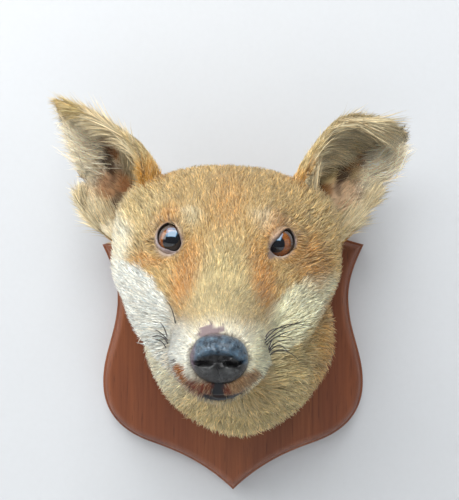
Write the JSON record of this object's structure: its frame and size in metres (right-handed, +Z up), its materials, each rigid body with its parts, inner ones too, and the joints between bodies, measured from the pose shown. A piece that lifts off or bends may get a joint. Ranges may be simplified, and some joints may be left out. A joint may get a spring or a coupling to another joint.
{
  "type": "mounted fox head",
  "caption": "Taxidermy red fox head, ears spread and mouth closed, on a shield-shaped hardwood plaque that hangs on a wall.",
  "frame": {"origin": "middle of the plaque's flat back, which lies on the wall", "axes": "+Z up, +Y into the wall, so the fox looks along -Y; +X is the fox's left"},
  "size_m": [0.2114, 0.1933, 0.2458],
  "materials": {
    "plaque_wood": "satin varnish over straight reddish-brown grain",
    "head_fur": "short soft orange-tan fur with cream tips",
    "muzzle_fur": "very short buff and white fur",
    "throat_fur": "soft cream-grey fur",
    "ear_fur": "straw-coloured hair in the cups, dark backs",
    "nose_leather": "glossy cracked black",
    "eye_glass": "polished, painted orange-brown behind a black pupil"
  },
  "bodies": {
    "root": {"plaque": "plaque_wood", "neck": "throat_fur", "head": "head_fur", "muzzle": "muzzle_fur", "lower_jaw": "throat_fur", "nose": "nose_leather", "eye_right": "eye_glass", "eye_left": "eye_glass", "ear_right": "ear_fur", "ear_left": "ear_fur"}
  },
  "joints": []
}
